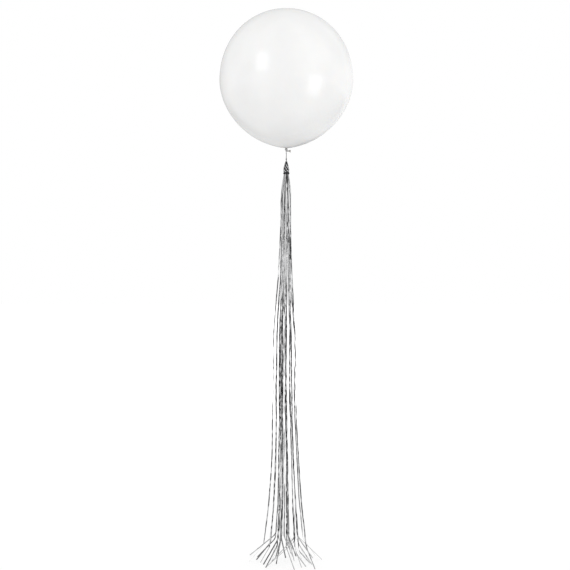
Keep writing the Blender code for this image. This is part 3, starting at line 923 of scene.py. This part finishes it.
def strip_route(strip, turn_at_top):
    """(point, facing azimuth, twist) down one strip, from the head to the floor."""
    ring, turn_low, share, half_turns, knee_height, tip_x, tip_y = strip
    top_radius, ring_share, _ = RINGS[ring]
    top_share = top_radius / BUNDLE[0][1]
    fall = STRIP_TOP - FLOOR - knee_height
    route = []
    for i in range(LONG_STATIONS):
        depth = fall * i / (LONG_STATIONS - 1)
        settle = eased(depth / SETTLE_DEPTH)
        spread = top_share + (ring_share * share - top_share) * settle
        radius = smooth_value(BUNDLE, depth) * spread
        angle = math.radians(turn_at_top + (turn_low - turn_at_top) * settle)
        place = Vector((radius * math.cos(angle) + smooth_value(SWAY, depth),
                        radius * math.sin(angle), STRIP_TOP - depth))
        twisted = (depth - TWIST_START) / (fall - TWIST_START - TWIST_END)
        twisted = min(max(twisted, 0.0), 1.0)
        route.append((place, angle, math.pi * half_turns * twisted))

    knee, low_angle, twist = route[-1]
    tip = Vector((tip_x, tip_y, FLOOR + STRIP_FILM))
    inward = (route[-2][0] - knee).normalized()
    onward = (tip - knee).normalized()
    splay = math.atan2(tip.y - knee.y, tip.x - knee.x)
    splay = low_angle + (splay - low_angle + math.pi) % (2 * math.pi) - math.pi
    bend = BEND_RADIUS * math.tan(inward.angle(-onward) / 2)
    while (route[-1][0] - knee).length < bend:
        route.pop()
    for i in range(BEND_STATIONS):
        t = i / (BEND_STATIONS - 1)
        place = ((1 - t)**2 * (knee + inward * bend) + 2 * t * (1 - t) * knee
                 + t**2 * (knee + onward * bend))
        route.append((place, low_angle + (splay - low_angle) * t, twist))
    leg_start = route[-1][0]
    for i in range(1, LEG_STATIONS + 1):
        route.append((leg_start.lerp(tip, i / LEG_STATIONS), splay, twist))
    return route


def build_ribbon(number, strip, turn_at_top, foil):
    """One strip of film: it twists, wanders and crinkles, with kinks where it was folded."""
    rng = random.Random(RIBBON_SEED + number)
    route = strip_route(strip, turn_at_top)
    runs = [0.0]
    for (before, *_), (point, *_) in zip(route, route[1:]):
        runs.append(runs[-1] + (point - before).length)
    length = runs[-1]
    knee_run = runs[-1 - LEG_STATIONS - BEND_STATIONS]
    wide_turn = kinked(rng, length, WIDE_KINKS)
    short_turn = kinked(rng, length, SHORT_KINKS)
    drift_x = kinked(rng, length, DRIFT_KINKS)
    drift_y = kinked(rng, length, DRIFT_KINKS)
    curl = kinked(rng, length, CURL_KINKS)
    crinkle = kinked(random.Random(CRINKLE_SEED + number), length, CRINKLE_KINKS)
    sideways = abs(math.cos(route[-1][1]))
    leg_turn = math.radians(rng.choice((-1, 1)) * rng.uniform(*LEG_TURN_DEG)) * sideways

    # Low down, a strip at the bundle's left or right turns nearly square on to the viewer
    low_angle = route[LONG_STATIONS // 2][1]
    edge_on = eased(abs(math.cos(low_angle)), *EDGE_ON)
    low_facing = low_angle + WANDER_TURN * wide_turn(knee_run - LOW_SAMPLE)
    square_on = math.pi * (round(low_facing / math.pi - 0.5) + 0.5)
    low_turn = (square_on - low_facing) * LOW_TURN_SHARE * edge_on

    points, sides, cambers = [], [], []
    last = len(route) - 1
    for i, (point, azimuth, twist) in enumerate(route):
        along = (route[min(i + 1, last)][0] - route[max(i - 1, 0)][0]).normalized()
        if i == 0:
            along = Vector((0, 0, -1))
        run = runs[i]
        past_knee = run - knee_run
        loose = eased(run, *LOOSE)
        free = loose * eased(-past_knee, *DRIFT_ABOVE_KNEE)
        low = eased(past_knee, *LOW_PAST_KNEE)
        wander = WANDER_TURN * wide_turn(min(run, knee_run)) * (1 - WANDER_HELD * edge_on * low)
        turned = twist + loose * wander + free * SHORT_TURN * short_turn(run) + low_turn * low
        turned += leg_turn * eased(past_knee, *LEG_PAST_KNEE)
        lively = CRINKLE_AT_TOP + (1 - CRINKLE_AT_TOP) * eased(run, *LIVELY)
        lively *= loose * eased(-past_knee, *CRINKLE_ABOVE_KNEE)
        turned += CRINKLE_TURN * lively * crinkle(run)
        facing = Vector((math.cos(azimuth), math.sin(azimuth), 0))
        level = along.cross(facing).normalized()
        across = level.cross(along).normalized()
        points.append(point + free * DRIFT * Vector((drift_x(run), drift_y(run), 0)))
        sides.append(level * math.cos(turned) + across * math.sin(turned))
        cambers.append(CAMBER + CURL_CAMBER * curl(run))
    ribbon = Shape()
    add_ribbon(ribbon, points, sides, STRIP_WIDTH, STRIP_FILM, cambers)
    name = f"foil_ribbon_{number:02d}"
    obj = piece(name, ribbon.mesh(name), foil, "tassel", f"foil_strip_{number:02d}")


def build_ribbons(foil):
    """All the hanging strips, spread evenly round their rings at the top."""
    counts = {ring: sum(strip[0] == ring for strip in STRIPS) for ring in RINGS}
    placed = dict.fromkeys(RINGS, 0)
    for number, strip in enumerate(STRIPS, 1):
        ring = strip[0]
        turn_at_top = RINGS[ring][2] + 360.0 * placed[ring] / counts[ring]
        placed[ring] += 1
        build_ribbon(number, strip, turn_at_top, foil)


def glow_material(name):
    """An emission-only material for the studio, and its helper and emission node."""
    material = bpy.data.materials.new(name)
    material.use_nodes = True
    tree = material.node_tree
    tree.nodes.clear()
    nodes = Nodes(tree)
    glow = nodes.add("Emission")
    out = nodes.add("OutputMaterial")
    tree.links.new(glow.outputs["Emission"], out.inputs["Surface"])
    return material, nodes, glow


def stage_mesh(name, points, faces, material):
    mesh = bpy.data.meshes.new(name)
    mesh.from_pydata(points, [], faces)
    mesh.materials.append(material)
    obj = bpy.data.objects.new(name, mesh)
    bpy.context.scene.collection.objects.link(obj)
    return obj


def build_world():
    """Soft light from all round, less of it from above and below, and a white background."""
    world = bpy.data.worlds.new("studio")
    world.use_nodes = True
    bpy.context.scene.world = world
    tree = world.node_tree
    tree.nodes.clear()
    nodes = Nodes(tree)
    way = nodes.add("SeparateXYZ", Vector=nodes.add("TexCoord").outputs["Generated"])

    up = way.outputs["Z"]
    slope = nodes.formula("MULTIPLY_ADD", up, -SKY_FALL, SKY_RISE)
    level = nodes.formula("MULTIPLY_ADD", up, slope, HORIZON_TONE)
    tone = nodes.formula("MULTIPLY_ADD", way.outputs["X"], SKY_LEAN, level)
    soft = nodes.add("Background", Strength=tone, Color=WHITE)
    white = nodes.add("Background", Strength=1.0, Color=WHITE)
    seen = nodes.add("LightPath").outputs["Is Camera Ray"]
    mix = nodes.join("MixShader", (), seen, soft.outputs[0], white.outputs[0])
    out = nodes.add("OutputWorld")
    tree.links.new(mix.outputs[0], out.inputs["Surface"])
    world.cycles_visibility.glossy = False


def build_floor():
    """A pale floor that glows softly, so that it shows only faint shadows."""
    material, nodes, glow = glow_material("pale floor")
    where = nodes.add("NewGeometry").outputs["Position"]
    distance = nodes.join("VectorMath", {"operation": "LENGTH"}, where).outputs["Value"]
    nodes.set(glow, "Strength", nodes.smooth_span(distance, *FLOOR_FADE, FLOOR_GLOW, 1.0))
    matt = nodes.add("BsdfDiffuse", Color=(FLOOR_ALBEDO, FLOOR_ALBEDO, FLOOR_ALBEDO, 1))
    both = nodes.join("AddShader", (), glow.outputs[0], matt.outputs[0])
    out = next(node for node in nodes.tree.nodes if node.type == "OUTPUT_MATERIAL")
    nodes.tree.links.new(both.outputs[0], out.inputs["Surface"])
    z = FLOOR - FLOOR_GAP
    corners = [(x * FLOOR_REACH, y * FLOOR_REACH, z)
               for x, y in ((-1, -1), (1, -1), (1, 1), (-1, 1))]
    floor = stage_mesh("floor", corners, [(0, 1, 2, 3)], material)
    floor.visible_diffuse = False
    floor.visible_glossy = False
    floor.visible_transmission = False
    floor.visible_shadow = False


def build_surround():
    """What the foil and the latex mirror: pale walls with dark gaps between them."""
    material, nodes, glow = glow_material("surround")
    where = nodes.add("TexCoord").outputs["Object"]
    way = nodes.join("VectorMath", {"operation": "NORMALIZE"}, where)
    parts = nodes.add("SeparateXYZ", Vector=way.outputs["Vector"])
    height = parts.outputs["Z"]
    around = nodes.formula("ARCTAN2", parts.outputs["X"], parts.outputs["Y"])
    turn = nodes.span(around, -math.pi, math.pi)
    ramps = []
    for tones in (LOW_TONES, EYE_TONES, UPPER_TONES, WALL_TONES):
        ramp = nodes.add("ValToRGB", Fac=turn)
        while len(ramp.color_ramp.elements) < len(tones):
            ramp.color_ramp.elements.new(0.5)
        for element, (azimuth, tone) in zip(ramp.color_ramp.elements, tones):
            element.position = (azimuth + 180) / 360
            element.color = (tone, tone, tone, 1)
        ramps.append(ramp.outputs["Color"])

    tone, eye, upper, wall = ramps
    for other, heights in ((eye, LOW_TO_EYE), (upper, EYE_TO_UPPER), (wall, UPPER_TO_WALL),
                           (wall, LOW_TO_WALL)):
        tone = nodes.mixed(nodes.smooth_span(height, *heights), tone, other)
    pale = nodes.span(height, *PALE_GAPS, 0.0, PALE_GAP_TONE)
    nodes.set(glow, "Color", nodes.mixed(1.0, tone, pale, blend_type="LIGHTEN"))
    rows, columns = 24, 48
    points = []
    for i in range(rows + 1):
        polar = math.pi * i / rows
        for k in range(columns):
            points.append(round_point(SURROUND_RADIUS * math.sin(polar), 2 * math.pi * k / columns,
                                      SURROUND_RADIUS * math.cos(polar)))
    faces = [(i * columns + k, i * columns + (k + 1) % columns,
              (i + 1) * columns + (k + 1) % columns, (i + 1) * columns + k)
             for i in range(rows) for k in range(columns)]
    tent = stage_mesh("surround", points, faces, material)
    tent.visible_camera = False
    tent.visible_diffuse = False
    tent.visible_transmission = False
    tent.visible_shadow = False


def build_windows(pieces):
    """Two soft boxes that the latex mirrors, in front to the left above and to the right."""
    lit = bpy.data.collections.new("mirrors the soft boxes")
    for obj in pieces:
        lit.objects.link(obj)
    for name, (way, distance, width, height, tone) in WINDOWS.items():
        data = bpy.data.lights.new(name, "AREA")
        data.shape = "RECTANGLE"
        data.size = width
        data.size_y = height
        data.energy = tone * math.pi * width * height
        light = bpy.data.objects.new(name, data)
        bpy.context.scene.collection.objects.link(light)
        way = Vector(way).normalized()
        light.location = way * distance
        light.rotation_euler = way.to_track_quat("Z", "Y").to_euler()
        light.visible_camera = False
        light.visible_diffuse = False
        light.light_linking.receiver_collection = lit


def build_camera():
    data = bpy.data.cameras.new("camera")
    data.lens = LENS_MM
    data.sensor_width = SENSOR_MM
    data.clip_start = 0.05
    data.clip_end = 200.0
    camera = bpy.data.objects.new("camera", data)
    bpy.context.scene.collection.objects.link(camera)
    camera.location = CAMERA_PLACE
    camera.rotation_euler = (math.pi / 2, 0, 0)
    bpy.context.scene.camera = camera
    bpy.context.scene.view_settings.view_transform = "Standard"


white_latex = latex_material()
grey_cord = cord_material()
# Painted shade of crumples and painted dark reflections on the hanging strips
silver_foil = foil_material("silver foil", HANGING_SHADE_COLOURS, 100.0, hanging=True)
# Painted shade in the head's folds, at its apex and next to the binding
shaded_head_foil = foil_material("head foil with painted shade", HEAD_SHADE_COLOURS, 150.0, twisted=True)
# Painted shade: the binding is dark all over
shaded_binding_foil = foil_material("binding foil with painted shade", BINDING_SHADE_COLOURS, 140.0)
build_camera()
build_ribbons(silver_foil)
latex_pieces = build_balloon(white_latex)
build_tie(grey_cord)
build_drop(grey_cord)
build_head(shaded_head_foil)
build_binding(shaded_binding_foil)
build_world()
build_floor()
build_surround()
build_windows(latex_pieces)
